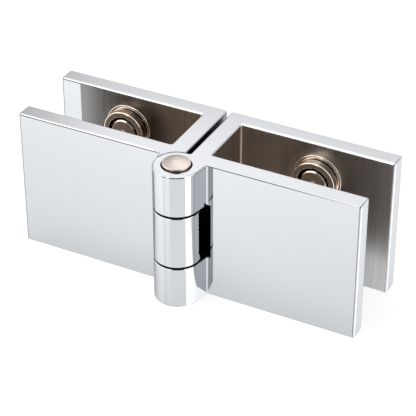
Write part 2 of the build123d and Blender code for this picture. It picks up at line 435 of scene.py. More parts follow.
@dataclass(frozen=True)
class ChromeFinish:
    """Chrome plate: polished outside, satin on the end faces and bare in the slots, with painted highlights
    along the plates' edges, painted light and shade in the slots and painted shade in the gaps, on the webs
    and on the outer corners.
    """

    colour: Triple = (0.635, 0.665, 0.69)
    edge_tint: float = 0.5  # share of the light that is left at a glancing angle
    polish: float = 0.03
    polish_spread: Pair = (0.7, 1.3)
    satin: float = 0.12
    satin_spread: Pair = (0.85, 1.15)
    satin_tilt: float = 0.985  # least upward share of an end face's normal
    satin_blur: float = 0.02
    # pale colour that paints a highlight along the plates' edges
    rim_highlight_colour: Triple = (0.93, 0.94, 0.95)
    rim_highlight_width: float = 0.35 * MM  # strip of painted highlight beside the rounding
    rim_highlight_tilt: float = 0.55
    rim_highlight_blur: float = 0.1
    # bare metal's colour along the slots, with painted light and shade: lighter towards the mouths, darker
    # near the inserts
    slot_tones_and_shade: tuple[tuple[float, Triple], ...] = (
        (-48.0 * MM, (0.41, 0.412, 0.415)),
        (-42.0 * MM, (0.32, 0.318, 0.312)),
        (-31.0 * MM, (0.27, 0.255, 0.235)),
        (-26.0 * MM, (0.49, 0.43, 0.37)),
        (-7.0 * MM, (0.68, 0.585, 0.50)),
        (18.0 * MM, (0.61, 0.56, 0.52)),
        (27.0 * MM, (0.47, 0.435, 0.405)),
        (43.0 * MM, (0.44, 0.43, 0.425)),
        (51.0 * MM, (0.57, 0.575, 0.585)),
    )
    slot_polish: float = 0.26
    slot_cloud: float = 0.40
    slot_tilt: float = 0.25
    # painted shadow ring round each insert, with a crescent of painted light beside it
    painted_halo_shades: Pair = (0.38, 0.85)  # share of the tone that the painted shadow ring leaves beside a left and a right insert
    painted_halo_width: float = 5.0 * MM
    painted_halo_shift: float = 3.0 * MM  # the painted shadow ring lies to the right of the insert's middle
    painted_glow_width: float = 2.4 * MM  # the crescent of painted light that is left beside the painted shadow ring
    painted_glow_gain: float = 1.7
    # dark colour that paints a line of shade on the outer corners' rounding
    corner_shade_colour: Triple = (0.30, 0.305, 0.315)
    corner_shade_turns: tuple[Pair, ...] = ((-0.97, -0.10), (0.05, 0.42))  # sideways share of the normal
    corner_shade_blur: float = 0.04
    # near-black colour that paints the shade in the knuckle gaps, the clearance pocket and the bore
    gap_shade_colour: Triple = (0.018, 0.018, 0.02)
    gap_dullness: float = 0.45
    # dark colour that paints the shade where a web faces the other leaf
    web_shade_colour: Triple = (0.27, 0.272, 0.28)
    web_dullness: float = 0.3
    web_tilt: float = 0.6  # greatest upward share of a web face's normal
    streak_scale: Triple = (900.0, 900.0, 14.0)
    streak_spread: Pair = (0.75, 1.25)
    streak_tone: Pair = (0.78, 1.22)
    cloud_scale: float = 60.0
    grain_scale: float = 5200.0
    peel_scale: float = 130.0
    relief: float = 0.02 * MM
    relief_strength: float = 0.06

    def material(self, leaf: "LeafPlates") -> bpy.types.Material:
        """Builds the finish for the leaves.

        Args:
            leaf: the leaves, for the places of their slots and gaps.

        Returns:
            The material.
        """
        material, graph, shader = new_material("polished_chrome")
        point = LeafPoint(graph, self, leaf)
        slot, gap, web = point.in_slot(), point.in_gap_shade(), point.on_web_shade()
        end_face = graph.step(point.rise, self.satin_tilt, self.satin_blur)

        along = graph.stretched(point.where, self.streak_scale)
        streaks = graph.noise(along, scale=1.0, detail=3.0, roughness=0.6)
        clouds = graph.noise(point.where, self.cloud_scale, detail=4.0, roughness=0.6)
        grain = graph.noise(point.where, self.grain_scale, detail=2.0, roughness=0.6)
        peel = graph.noise(point.where, self.peel_scale, detail=1.0, roughness=0.4)

        plain = graph.vary(peel, self.polish, self.polish_spread)
        ends = graph.vary(grain, self.satin, self.satin_spread)
        bare = graph.mix(clouds, self.slot_polish, self.slot_cloud)
        bare = graph.product(bare, graph.vary(streaks, 1.0, self.streak_spread))
        roughness = graph.mix(slot, graph.mix(end_face, plain, ends), bare)
        roughness = graph.mix(web, roughness, self.web_dullness)
        graph.feed(shader.inputs["Roughness"], graph.mix(gap, roughness, self.gap_dullness))

        slot_shaded = graph.scaled(point.slot_tone_and_shade(), graph.vary(streaks, 1.0, self.streak_tone))
        # painted highlights on the rims and painted shade on the corners, webs and gaps, over the slots' bare
        # metal with its painted light and shade
        layers = (
            (point.on_rim_highlight(), rgba(self.rim_highlight_colour)),
            (point.on_corner_shade(), rgba(self.corner_shade_colour)),
            (slot, slot_shaded),
            (web, rgba(self.web_shade_colour)),
            (gap, rgba(self.gap_shade_colour)),
        )
        colour: Any = rgba(self.colour)
        for mask, layer in layers:
            colour = graph.mix_colour(mask, colour, layer)
        graph.feed(shader.inputs["Base Color"], colour)
        shader.inputs["Metallic"].default_value = 1.0
        shader.inputs["Specular Tint"].default_value = rgba((self.edge_tint,) * 3)

        height = graph.mix(slot, graph.product(grain, end_face), streaks)
        graph.bump(shader, height, self.relief_strength, self.relief)
        return material


@dataclass(frozen=True)
class TurnedNickelFinish:
    """Nickel with the fine rings that a lathe leaves, and painted shade in the grooves that it is given."""

    name: str
    colour: Triple
    roughness: float
    anisotropy: float
    lay: Lay
    groove_shade: tuple[tuple[float, float, float, float], ...] = ()  # radii and heights of grooves that are painted dark as shade
    groove_shade_tone: float = 0.06
    groove_shade_edge: float = 0.05 * MM
    ring_scale: float = 2600.0
    ring_tone: Pair = (0.95, 1.05)
    ring_depth: float = 0.002 * MM
    ring_strength: float = 0.35
    broad_ratio: float = 9.0  # how many times broader the second set of rings is
    broad_share: float = 0.6
    smear_scale: float = 300.0
    smear_spread: Pair = (0.8, 1.25)
    smear_tone: Pair = (0.97, 1.03)

    def round_the_axis(self, graph: NodeGraph, axes: Any) -> Socket:
        """The direction in which the lathe's rings run at a point.

        Args:
            graph: the material's nodes.
            axes: the point's axes in the turned piece's own coordinates.

        Returns:
            The direction in the world.
        """
        along = graph.vector(graph.product(axes["Y"], -1.0), axes["X"])
        laid = graph.add(
            "ShaderNodeVectorRotate", {"Vector": along, "Rotation": self.lay.value}, rotation_type="EULER_XYZ"
        )
        turned = graph.add(
            "ShaderNodeVectorTransform",
            {"Vector": laid.outputs[0]},
            vector_type="VECTOR",
            convert_from="OBJECT",
            convert_to="WORLD",
        )
        return turned.outputs[0]

    def material(self) -> bpy.types.Material:
        """Builds the finish from a turned piece's own coordinates.

        Returns:
            The material.
        """
        material, graph, shader = new_material(self.name)
        place = graph.add("ShaderNodeAttribute", attribute_name=LOCAL_PLACE).outputs["Vector"]
        axes = graph.axes(place)
        radius = graph.length(axes["X"], axes["Y"])
        across = graph.vector(radius, z=axes["Z"])
        rings = graph.noise(across, self.ring_scale, detail=3.0, roughness=0.7)
        broad = graph.noise(across, self.ring_scale / self.broad_ratio, detail=1.0, roughness=0.5)
        smears = graph.noise(place, self.smear_scale, detail=3.0, roughness=0.6)
        graph.feed(shader.inputs["Roughness"], graph.vary(smears, self.roughness, self.smear_spread))
        tone = graph.product(graph.vary(rings, 1.0, self.ring_tone), graph.vary(smears, 1.0, self.smear_tone))
        # painted shade: each groove is darkened to a small share of the tone
        for inner, outer, low, high in self.groove_shade:
            groove = graph.between(radius, inner, outer, self.groove_shade_edge)
            shaded_groove = graph.product(groove, graph.between(axes["Z"], low, high, self.groove_shade_edge))
            tone = graph.product(tone, graph.mix(shaded_groove, 1.0, self.groove_shade_tone))
        graph.feed(shader.inputs["Base Color"], graph.scaled(self.colour, tone))
        shader.inputs["Metallic"].default_value = 1.0
        shader.inputs["Anisotropic"].default_value = self.anisotropy
        graph.feed(shader.inputs["Tangent"], self.round_the_axis(graph, axes))
        height = graph.math("MULTIPLY_ADD", broad, self.broad_share, rings)
        graph.bump(shader, height, self.ring_strength, self.ring_depth)
        return material


@dataclass(frozen=True)
class SoftFinish:
    """Moulded nylon or rubber: a dull dielectric with a fine grain."""

    name: str
    colour: Triple
    roughness: float
    grain_scale: float
    grain_depth: float = 0.02 * MM
    grain_strength: float = 0.5
    grain_spread: Pair = (0.85, 1.15)
    grain_tone: Pair = (0.88, 1.12)
    blotch_ratio: float = 20.0  # how many times broader the blotches are than the grain
    blotch_tone: Pair = (0.85, 1.15)

    def material(self) -> bpy.types.Material:
        """Builds the finish.

        Returns:
            The material.
        """
        material, graph, shader = new_material(self.name)
        place = graph.add("ShaderNodeTexCoord").outputs["Object"]
        grain = graph.noise(place, self.grain_scale, detail=3.0, roughness=0.6)
        blotches = graph.noise(place, self.grain_scale / self.blotch_ratio, detail=2.0, roughness=0.5)
        tone = graph.vary(grain, 1.0, self.grain_tone)
        tone = graph.product(tone, graph.vary(blotches, 1.0, self.blotch_tone))
        graph.feed(shader.inputs["Base Color"], graph.scaled(self.colour, tone))
        graph.feed(shader.inputs["Roughness"], graph.vary(grain, self.roughness, self.grain_spread))
        graph.bump(shader, grain, self.grain_strength, self.grain_depth)
        return material


class Corner(NamedTuple):
    """A corner of a turned piece's half section."""

    radius: float
    height: float
    rounding: float = 0.0
    threaded: bool = False  # the run up to this point carries the thread
    flats: bool = False  # the corner lies on a socket with flats, at its radius across the flats


@dataclass
class TurnedPiece:
    """Solid of revolution, made by Geometry Nodes from its half section.

    The outline runs up the outside, and back down the bore or to the axis.
    """

    name: str
    outline: list[Corner]
    place: Vector
    lay: Lay
    segments: int = 96
    flats: int = 6
    thread_pitch: float = 1.25 * MM
    thread_depth: float = 0.0
    arc_steps: int = 5
    runs_per_pitch: int = 10
    weld: float = 0.002 * MM
    crease: float = math.radians(32)

    def corners(self) -> list[tuple[float, float, float, float]]:
        """Rounds the outline's corners and divides its threaded runs.

        Returns:
            Radius, height, thread weight and flats weight of each point.
        """
        done: list[tuple[float, float, float, float]] = []
        count = len(self.outline)
        for i, point in enumerate(self.outline):
            here = Vector((point.radius, point.height))
            weight = float(point.flats)
            if point.threaded:
                done += self.threaded_run(Vector(done[-1][:2]), here)
            if point.rounding and 0 < i < count - 1:
                before = Vector(self.outline[i - 1][:2])
                after = Vector(self.outline[i + 1][:2])
                done += [(p.x, p.y, 0.0, weight) for p in self.arc(before, here, after, point.rounding)]
            else:
                done.append((here.x, here.y, 0.0, weight))
        return done

    def arc(self, before: Vector, corner: Vector, after: Vector, radius: float) -> list[Vector]:
        """Points of the arc that rounds a corner.

        Args:
            before: the outline's point before the corner.
            corner: the corner.
            after: the outline's point after it.
            radius: the arc's radius.

        Returns:
            The arc's points, ends included.
        """
        back = (before - corner).normalized()
        ahead = (after - corner).normalized()
        half = back.angle(ahead) / 2
        setback = radius / math.tan(half)
        centre = corner + (back + ahead).normalized() * (radius / math.sin(half))
        start = corner + back * setback - centre
        sweep = start.angle_signed(corner + ahead * setback - centre)
        turn = [-sweep * step / self.arc_steps for step in range(self.arc_steps + 1)]
        return [centre + Matrix.Rotation(angle, 2) @ start for angle in turn]

    def threaded_run(self, start: Vector, end: Vector) -> list[tuple[float, float, float, float]]:
        """Divides a run that carries the thread, which fades out over its ends.

        Args:
            start: the run's first point.
            end: its last point.

        Returns:
            The points between the two.
        """
        steps = max(2, round(abs(end.y - start.y) / self.thread_pitch * self.runs_per_pitch))
        points = []
        for step in range(1, steps):
            share = step / steps
            point = start.lerp(end, share)
            fade = min(1.0, min(step, steps - step) / (self.runs_per_pitch / 2))
            points.append((point.x, point.y, fade, 0.0))
        return points

    def section(self) -> Piece:
        """Makes the half section as a mesh of points with their weights.

        Returns:
            An object with the points in outline order.
        """
        rows = self.corners()
        mesh = bpy.data.meshes.new(self.name)
        edges = [(i, i + 1) for i in range(len(rows) - 1)]
        mesh.from_pydata([(r, 0.0, z) for r, z, _, _ in rows], edges, [])
        for label, column in (("thread", 2), ("flats", 3)):
            weights = mesh.attributes.new(label, "FLOAT", "POINT")
            weights.data.foreach_set("value", [row[column] for row in rows])
        return new_object(self.name, mesh)

    def build(self, tree: "TurningTree", material: bpy.types.Material) -> Piece:
        """Turns the section and keeps the result as a plain mesh.

        Args:
            tree: the Geometry Nodes that turn it.
            material: its finish.

        Returns:
            The finished piece, at the origin.
        """
        sizes = {
            "Segments": self.segments,
            "Flats": self.flats,
            "Thread Pitch": self.thread_pitch,
            "Thread Depth": self.thread_depth,
            "Weld": self.weld,
            "Crease": self.crease,
            "Place": self.place,
            "Lay": Vector(self.lay.value),
            "Finish": material,
        }
        return tree.apply(self.section(), sizes)


class TurningTree:
    """Geometry Nodes that turn a half section about Z and put the piece in its place."""

    INPUTS = {
        "Segments": "NodeSocketInt",
        "Flats": "NodeSocketInt",
        "Thread Pitch": "NodeSocketFloat",
        "Thread Depth": "NodeSocketFloat",
        "Weld": "NodeSocketFloat",
        "Crease": "NodeSocketFloat",
        "Place": "NodeSocketVector",
        "Lay": "NodeSocketVector",
        "Finish": "NodeSocketMaterial",
    }

    def __init__(self) -> None:
        """Builds the tree."""
        self.tree = bpy.data.node_groups.new("turned_piece", "GeometryNodeTree")
        self.tree.interface.new_socket("Section", in_out="INPUT", socket_type="NodeSocketGeometry")
        self.identifiers = {}
        for name, kind in self.INPUTS.items():
            socket = self.tree.interface.new_socket(name, in_out="INPUT", socket_type=kind)
            self.identifiers[name] = socket.identifier
        self.tree.interface.new_socket("Piece", in_out="OUTPUT", socket_type="NodeSocketGeometry")
        self.graph = NodeGraph(self.tree)
        given = self.graph.add("NodeGroupInput").outputs
        turned = self.turned(given)
        self.graph.add("NodeGroupOutput", {"Piece": self.placed(turned, given)})

    def sampled(self, given: Any, value: Any, row: Any, kind: str) -> Socket:
        """Reads a value of the section's point in a row.

        Args:
            given: the tree's inputs.
            value: the field to read.
            row: the point's index.
            kind: the field's data type.

        Returns:
            The value.
        """
        inputs = {"Geometry": given["Section"], "Value": value, "Index": row}
        return self.graph.add("GeometryNodeSampleIndex", inputs, data_type=kind).outputs["Value"]

    def passed(self, mesh: Any, kind: str, inputs: dict[str, Any], **settings: str) -> Socket:
        """Passes a mesh through a node that it adds.

        Args:
            mesh: the mesh.
            kind: the node's type, without its prefix.
            inputs: the node's other inputs.
            settings: its own properties.

        Returns:
            The changed mesh.
        """
        node = self.graph.add(f"GeometryNode{kind}", {"Geometry": mesh, **inputs}, **settings)
        return node.outputs[0]

    def stored(self, mesh: Any, name: str, value: Any, **settings: str) -> Socket:
        """Keeps a value as a named attribute of a mesh."""
        return self.passed(mesh, "StoreNamedAttribute", {"Name": name, "Value": value}, **settings)

    def named(self, name: str) -> Socket:
        """Reads a number that the section carries on its points."""
        node = self.graph.add("GeometryNodeInputNamedAttribute", {"Name": name}, data_type="FLOAT")
        return node.outputs["Attribute"]

    def turned(self, given: Any) -> Socket:
        """Wraps a grid round the axis, one row for each point of the section.

        Args:
            given: the tree's inputs.

        Returns:
            The turned mesh, open where the section is.
        """
        graph = self.graph
        size = graph.add("GeometryNodeAttributeDomainSize", {"Geometry": given["Section"]}, component="MESH")
        rows = size.outputs["Point Count"]
        columns = graph.math("ADD", given["Segments"], 1.0)
        grid = graph.add("GeometryNodeMeshGrid", {"Vertices X": columns, "Vertices Y": rows})
        index = graph.add("GeometryNodeInputIndex").outputs[0]
        column = graph.math("FLOOR", graph.math("DIVIDE", graph.math("ADD", index, 0.5), rows))
        row = graph.math("SUBTRACT", index, graph.product(column, rows))
        angle = graph.product(graph.math("DIVIDE", column, given["Segments"]), math.tau)

        point = self.sampled(given, graph.add("GeometryNodeInputPosition").outputs[0], row, "FLOAT_VECTOR")
        section = graph.axes(point)
        flats = self.sampled(given, self.named("flats"), row, "FLOAT")
        thread = self.sampled(given, self.named("thread"), row, "FLOAT")

        sector = graph.math("DIVIDE", math.tau, given["Flats"])
        half = graph.math("DIVIDE", sector, 2.0)
        beyond = graph.math("FLOORED_MODULO", graph.math("ADD", angle, half), sector)
        offset = graph.math("SUBTRACT", beyond, half)
        stretch = graph.math("SUBTRACT", graph.math("DIVIDE", 1.0, graph.math("COSINE", offset)), 1.0)
        flatted = graph.math("MULTIPLY_ADD", flats, stretch, 1.0)

        turns = graph.math("DIVIDE", angle, math.tau)
        phase = graph.math("SUBTRACT", graph.math("DIVIDE", section["Z"], given["Thread Pitch"]), turns)
        swing = graph.math("COSINE", graph.product(phase, math.tau))
        wave = graph.math("MULTIPLY_ADD", swing, -0.5, 0.5)
        cut = graph.product(wave, thread, given["Thread Depth"])
        radius = graph.math("SUBTRACT", graph.product(section["X"], flatted), cut)

        x = graph.product(radius, graph.math("COSINE", angle))
        y = graph.product(radius, graph.math("SINE", angle))
        position = graph.vector(x, y, section["Z"])
        return self.passed(grid.outputs["Mesh"], "SetPosition", {"Position": position})

    def placed(self, mesh: Socket, given: Any) -> Socket:
        """Closes the seam, keeps the piece's own coordinates and puts it in place.

        Args:
            mesh: the turned mesh.
            given: the tree's inputs.

        Returns:
            The finished geometry.
        """
        graph = self.graph
        own = graph.add("GeometryNodeInputPosition").outputs[0]
        angle = graph.add("GeometryNodeInputMeshEdgeAngle").outputs["Unsigned Angle"]
        sharp = graph.add("FunctionNodeCompare", {"A": angle, "B": given["Crease"]}, operation="GREATER_THAN")
        mesh = self.passed(mesh, "MergeByDistance", {"Distance": given["Weld"]})
        mesh = self.stored(mesh, LOCAL_PLACE, own, data_type="FLOAT_VECTOR", domain="POINT")
        mesh = self.stored(mesh, "sharp_edge", sharp.outputs[0], data_type="BOOLEAN", domain="EDGE")
        mesh = self.passed(mesh, "SetShadeSmooth", {"Shade Smooth": True})
        mesh = self.passed(mesh, "Transform", {"Translation": given["Place"], "Rotation": given["Lay"]})
        mesh = self.passed(mesh, "RealizeInstances", {})
        return self.passed(mesh, "SetMaterial", {"Material": given["Finish"]})

    def apply(self, piece: Piece, sizes: dict[str, Any]) -> Piece:
        """Runs the tree on a section and keeps its result as a plain mesh.

        Args:
            piece: the object that holds the section.
            sizes: a value for each of the tree's inputs.

        Returns:
            The same object, with the finished mesh and no modifier.
        """
        modifier = piece.modifiers.new("turning", "NODES")
        modifier.node_group = self.tree
        for name, value in sizes.items():
            modifier[self.identifiers[name]] = value
        section = piece.data
        graph = bpy.context.evaluated_depsgraph_get()
        made = bpy.data.meshes.new_from_object(piece.evaluated_get(graph), depsgraph=graph)
        piece.modifiers.remove(modifier)
        made.name = piece.name
        piece.data = made
        bpy.data.meshes.remove(section)
        return piece


@dataclass(frozen=True)
class SmoothShading:
    """Normals for a machined part: flat faces stay flat and round ones shade round."""

    weld: float = 0.001 * MM  # points nearer than this are merged
    speck: float = 0.0001 * MM  # edges shorter than this are dissolved
    crease: float = math.radians(38)  # edges that bend further stay sharp
    coplanar: float = math.radians(0.3)  # faces that turn less lie in one plane

    def regions(self, form: bmesh.types.BMesh) -> dict[int, int]:
        """Groups the faces that lie in one plane and touch.

        Args:
            form: the merged mesh.

        Returns:
            The group of each face, by the face's index.
        """
        group: dict[int, int] = {}
        for face in form.faces:
            if face.index in group:
                continue
            group[face.index] = face.index
            queue = [face]
            while queue:
                here = queue.pop()
                for edge in here.edges:
                    for other in edge.link_faces:
                        if other.index not in group and other.normal.angle(face.normal, 0.0) < self.coplanar:
                            group[other.index] = face.index
                            queue.append(other)
        return group

    def fan(self, corner: bmesh.types.BMLoop) -> list[bmesh.types.BMLoop]:
        """The corners at a vertex that share one normal with this one.

        Args:
            corner: the corner that the fan starts at.

        Returns:
            The corners that are reached without crossing a sharp edge.
        """
        found = {corner.face.index: corner}
        queue = [corner]
        while queue:
            here = queue.pop()
            for edge in (here.edge, here.link_loop_prev.edge):
                if not edge.is_manifold or edge.calc_face_angle(math.pi) > self.crease:
                    continue
                for face in edge.link_faces:
                    if face.index not in found:
                        loop = next(one for one in face.loops if one.vert == corner.vert)
                        found[face.index] = loop
                        queue.append(loop)
        return list(found.values())

    def apply(self, mesh: bpy.types.Mesh) -> None:
        """Merges the mesh's loose triangles and sets the normals of its corners.

        Args:
            mesh: the mesh, which is changed.
        """
        form = bmesh.new()
        form.from_mesh(mesh)
        bmesh.ops.remove_doubles(form, verts=form.verts, dist=self.weld)
        bmesh.ops.dissolve_degenerate(form, edges=form.edges, dist=self.speck)
        form.normal_update()
        form.faces.ensure_lookup_table()
        group = self.regions(form)
        area: dict[int, float] = {}
        for face in form.faces:
            area[group[face.index]] = area.get(group[face.index], 0.0) + face.calc_area()
            face.smooth = True
        normals: list[Vector] = []
        for face in form.faces:
            for corner in face.loops:
                total = Vector()
                for other in self.fan(corner):
                    weight = area[group[other.face.index]] * other.calc_angle()
                    total += other.face.normal * weight
                normals.append(total.normalized())
        form.to_mesh(mesh)
        form.free()
        mesh.normals_split_custom_set(normals)


@dataclass
class LeafPlates:
    """The two polished leaves, with the places that their finish follows."""

    slot_front: float = field(init=False)
    slot_back: float = field(init=False)
    axis_y: float = field(init=False)
    top: float = field(init=False)
    reach: float = 55.0 * MM  # from the middle of the hinge to a leaf's outer end
    corner_radius: float = 0.7 * MM
    slot_reach: float = 6.5 * MM  # from the middle of the hinge to the bottom of a slot
    slot_mouth: float = 48.4 * MM  # where the polished strip at the left slot's mouth starts
    plate: float = 5.5 * MM
    web_gap: float = 1.5 * MM
    barrel_radius: float = 7.0 * MM
    notch_radius: float = 9.7 * MM
    knuckle_gap: float = 0.7 * MM
    knuckle_edge: float = 0.13 * MM
    bush_play: float = 0.1 * MM
    bore_reach: float = 5.5 * MM
    edge_radius: float = 0.5 * MM
    clamp_reach: float = 31.5 * MM
    clamp_edge: float = 11.0 * MM
    flange_radius: float = 7.5 * MM
    mask_edge: float = 0.12 * MM

    def __post_init__(self) -> None:
        """Reads where the slots and the barrel lie from the frame."""
        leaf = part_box("left_leaf")[1]
        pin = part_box("hinge_pin")
        self.slot_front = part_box("left_liner")[0].y
        self.slot_back = leaf.y - self.plate
        self.axis_y = (pin[0].y + pin[1].y) / 2
        self.top = leaf.z

    def knuckle_gaps(self) -> tuple[Pair, Pair]:
        """Works out where the knuckle gaps lie.

        Returns:
            The heights between which the lower and the upper gap lie.
        """
        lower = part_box("lower_bush")[0].z - self.bush_play
        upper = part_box("upper_bush")[1].z + self.bush_play
        return (lower, lower + self.knuckle_gap), (upper - self.knuckle_gap, upper)

    def build(self, finish: ChromeFinish) -> None:
        """Makes the leaves' smooth-shaded meshes in place of the frame's.

        Args:
            finish: the leaves' finish.
        """
        material = finish.material(self)
        shading = SmoothShading()
        for side in Side:
            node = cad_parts[f"{side.value}_leaf"]
            mesh = node.data.copy()
            mesh.materials.clear()
            mesh.materials.append(material)
            shading.apply(mesh)
            piece = new_object(f"{side.value}_leaf_polished", mesh)
            settle(piece, f"{side.value}_side", "polished_chrome", f"{side.value}_leaf")


def settle(piece: Piece, body: str, slot: str, *nodes: str) -> None:
    """Gives a piece its body and hides the frame's nodes that it stands for.

    Args:
        piece: the finished piece.
        body: the body that it rides on.
        slot: the record's material slot; not used.
        nodes: the frame's nodes that it replaces.
    """
    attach(piece, body)
    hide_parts(*nodes)
    log.info("%s: %d faces, on %s", piece.name, len(piece.data.polygons), body)


@dataclass
class BarrelHardware:
    """The hinge pin, its end screw and the two bushes, all turned about the hinge's axis."""

    pin_radius: float = 3.0 * MM
    pin_edge: float = 0.2 * MM
    head_radius: float = 4.15 * MM
    head_height: float = 2.55 * MM  # from its seat in the recess to the top of its crown
    head_crown: float = 0.42 * MM
    head_edge: float = 0.25 * MM
    crown_steps: int = 12
    screw_radius: float = 2.0 * MM
    screw_head: float = 1.2 * MM
    screw_socket: float = 1.25 * MM
    screw_socket_depth: float = 0.8 * MM
    screw_pitch: float = 0.7 * MM
    screw_thread: float = 0.2 * MM
    screw_edge: float = 0.2 * MM
    bore_clearance: float = 0.05 * MM
    tapped_depth: float = 8.0 * MM
    bush_wall: float = 1.0 * MM
    bush_flange: float = 0.6 * MM
    bush_edge: float = 0.08 * MM

    def axis(self, node: str) -> Vector:
        """The hinge's axis at the lowest point of a node."""
        low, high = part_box(node)
        return Vector(((low.x + high.x) / 2, (low.y + high.y) / 2, low.z))

    def pin(self) -> TurnedPiece:
        """The pin, with its domed head up and its tapped end down.

        Returns:
            The turned piece.
        """
        low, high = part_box("hinge_pin")
        length = high.z - low.z
        rim = length - self.head_crown
        shoulder = length - self.head_height
        bore = self.screw_radius + self.bore_clearance
        crown_edge = self.head_radius - self.head_edge
        sphere = (crown_edge**2 + self.head_crown**2) / (2 * self.head_crown)
        outline = [
            Corner(0.0, self.tapped_depth),
            Corner(bore, self.tapped_depth),
            Corner(bore, 0.0),
            Corner(self.pin_radius, 0.0, self.pin_edge),
            Corner(self.pin_radius, shoulder),
            Corner(self.head_radius, shoulder),
            Corner(self.head_radius, rim, self.head_edge),
        ]
        for step in range(self.crown_steps + 1):
            radius = crown_edge * (1 - step / self.crown_steps)
            outline.append(Corner(radius, length - sphere + math.sqrt(sphere**2 - radius**2)))
        return TurnedPiece("hinge_pin_turned", outline, self.axis("hinge_pin"), Lay.UP, segments=128)

    def end_screw(self) -> TurnedPiece:
        """The screw in the pin's lower end, with its socket down.

        Returns:
            The turned piece.
        """
        low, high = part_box("pin_end_screw")
        length = high.z - low.z
        outline = [
            Corner(0.0, self.screw_socket_depth),
            Corner(self.screw_socket, self.screw_socket_depth, flats=True),
            Corner(self.screw_socket, 0.0, flats=True),
            Corner(self.head_radius, 0.0, self.head_edge),
            Corner(self.head_radius, self.screw_head),
            Corner(self.screw_radius, self.screw_head),
            Corner(self.screw_radius, length, self.screw_edge, threaded=True),
            Corner(0.0, length),
        ]
        return TurnedPiece(
            "pin_end_screw_turned",
            outline,
            self.axis("pin_end_screw"),
            Lay.UP,
            thread_pitch=self.screw_pitch,
            thread_depth=self.screw_thread,
        )

    def bush(self, level: Level) -> TurnedPiece:
        """A bush in the middle knuckle, its flange to the outer knuckle.

        Args:
            level: which of the two bushes.

        Returns:
            The turned piece.
        """
        low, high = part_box(f"{level.value}_bush")
        length = high.z - low.z
        flange = (high.x - low.x) / 2
        bore = self.pin_radius + self.bore_clearance
        wall = bore + self.bush_wall
        outline = [
            Corner(bore, 0.0),
            Corner(wall, 0.0, self.bush_edge),
            Corner(wall, length - self.bush_flange),
            Corner(flange, length - self.bush_flange, self.bush_edge),
            Corner(flange, length, self.bush_edge),
            Corner(bore, length, self.bush_edge),
            Corner(bore, 0.0),
        ]
        place, lay = self.axis(f"{level.value}_bush"), Lay.UP
        if level is Level.LOWER:
            place.z, lay = high.z, Lay.DOWN
        return TurnedPiece(f"{level.value}_bush_turned", outline, place, lay)

    def build(self, tree: TurningTree, nickel: TurnedNickelFinish, nylon: SoftFinish) -> None:
        """Makes the barrel's turned pieces.

        Args:
            tree: the Geometry Nodes that turn them.
            nickel: the finish of the pin and its screw.
            nylon: the finish of the bushes.
        """
        metal = nickel.material()
        plastic = nylon.material()
        settle(self.pin().build(tree, metal), "right_side", "satin_nickel", "hinge_pin")
        settle(self.end_screw().build(tree, metal), "right_side", "satin_nickel", "pin_end_screw")
        for level in Level:
            settle(self.bush(level).build(tree, plastic), "left_side", "black_nylon", f"{level.value}_bush")


